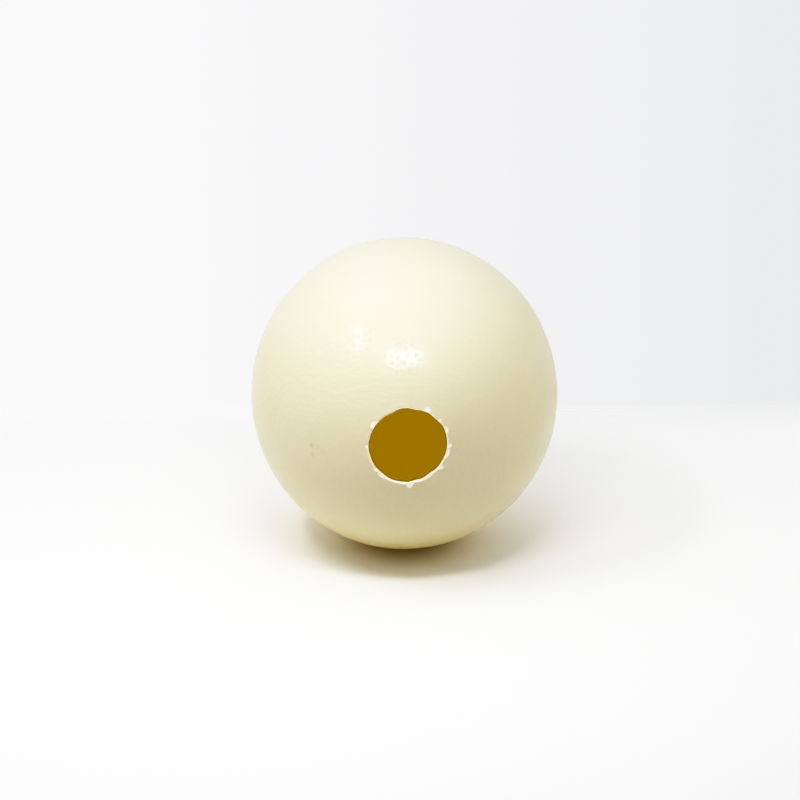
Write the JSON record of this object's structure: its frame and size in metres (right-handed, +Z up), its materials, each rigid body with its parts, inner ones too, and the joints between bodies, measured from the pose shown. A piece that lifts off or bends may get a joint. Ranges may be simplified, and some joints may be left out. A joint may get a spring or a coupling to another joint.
{
  "type": "ostrich egg",
  "caption": "Blown ostrich eggshell lying on its side: a thick cream shell with pitted gloss, empty inside, with a round hole with a chipped edge in its blunt end.",
  "frame": {"origin": "on the surface that the egg rests on, under the middle of its length and of its breadth", "axes": "+Z up from the resting surface; the egg's long axis runs along Y, with the holed blunt end towards -Y and the pointed end towards +Y"},
  "size_m": [0.126, 0.1522, 0.1255],
  "materials": {
    "shell": "satin"
  },
  "bodies": {
    "root": {"eggshell": "shell"}
  },
  "joints": []
}
